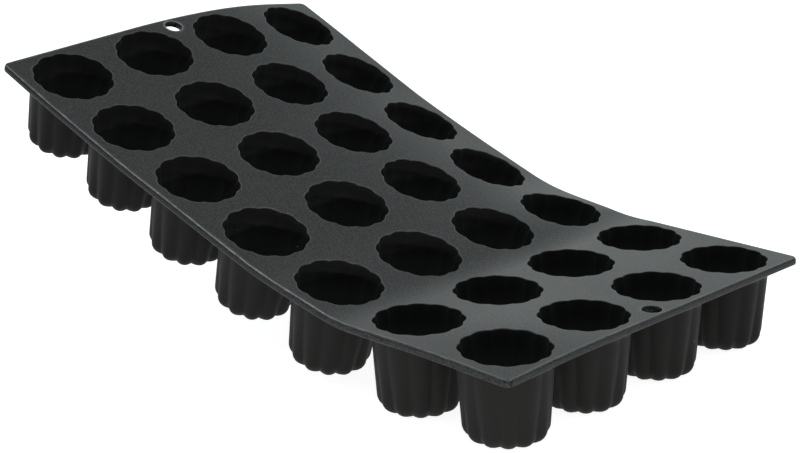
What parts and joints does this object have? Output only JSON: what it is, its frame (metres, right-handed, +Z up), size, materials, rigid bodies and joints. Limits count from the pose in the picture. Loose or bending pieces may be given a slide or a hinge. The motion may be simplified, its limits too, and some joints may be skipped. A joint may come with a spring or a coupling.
{
  "type": "silicone baking mould",
  "caption": "Flexible silicone sheet with a grid of deep fluted cups for baking small cakes, standing with its far rows bent up along the flex lines between rows.",
  "frame": {"origin": "under the middle of the mould's box, on the surface that it stands on", "axes": "+X along the sheet towards its flat end, +Y across the sheet, +Z up"},
  "size_m": [0.2952, 0.1784, 0.1084],
  "materials": {
    "silicone": "matt charcoal silicone rubber with a fine satin sheen"
  },
  "bodies": {
    "row_7": {"row_7_sheet": "silicone", "cup_7_1": "silicone", "cup_7_2": "silicone", "cup_7_3": "silicone", "cup_7_4": "silicone"},
    "row_6": {"row_6_sheet": "silicone", "cup_6_1": "silicone", "cup_6_2": "silicone", "cup_6_3": "silicone", "cup_6_4": "silicone"},
    "row_5": {"row_5_sheet": "silicone", "cup_5_1": "silicone", "cup_5_2": "silicone", "cup_5_3": "silicone", "cup_5_4": "silicone"},
    "row_4": {"row_4_sheet": "silicone", "cup_4_1": "silicone", "cup_4_2": "silicone", "cup_4_3": "silicone", "cup_4_4": "silicone"},
    "row_3": {"row_3_sheet": "silicone", "cup_3_1": "silicone", "cup_3_2": "silicone", "cup_3_3": "silicone", "cup_3_4": "silicone"},
    "row_2": {"row_2_sheet": "silicone", "cup_2_1": "silicone", "cup_2_2": "silicone", "cup_2_3": "silicone", "cup_2_4": "silicone"},
    "row_1": {"row_1_sheet": "silicone", "cup_1_1": "silicone", "cup_1_2": "silicone", "cup_1_3": "silicone", "cup_1_4": "silicone"}
  },
  "joints": [
    {"name": "flex_6_7", "type": "hinge", "parent": "row_7", "child": "row_6", "pos_m": [0.10529, 0, 0.035], "axis": [0, 1, 0], "range_deg": [0, 40], "stiffness_Nm_per_rad": 2},
    {"name": "flex_5_6", "type": "hinge", "parent": "row_6", "child": "row_5", "pos_m": [0.06229, 0, 0.035], "axis": [0, 1, 0], "range_deg": [-12, 22.9], "stiffness_Nm_per_rad": 2},
    {"name": "flex_4_5", "type": "hinge", "parent": "row_5", "child": "row_4", "pos_m": [0.02119, 0, 0.04764], "axis": [0, 1, 0], "range_deg": [-1.7, 38.3], "stiffness_Nm_per_rad": 2},
    {"name": "flex_3_4", "type": "hinge", "parent": "row_4", "child": "row_3", "pos_m": [-0.01951, 0, 0.0615], "axis": [0, 1, 0], "range_deg": [-0.8, 39.2], "stiffness_Nm_per_rad": 2},
    {"name": "flex_2_3", "type": "hinge", "parent": "row_3", "child": "row_2", "pos_m": [-0.06002, 0, 0.07593], "axis": [0, 1, 0], "range_deg": [-2.5, 37.5], "stiffness_Nm_per_rad": 2},
    {"name": "flex_1_2", "type": "hinge", "parent": "row_2", "child": "row_1", "pos_m": [-0.09986, 0, 0.0921], "axis": [0, 1, 0], "range_deg": [-0.5, 39.5], "stiffness_Nm_per_rad": 2}
  ]
}
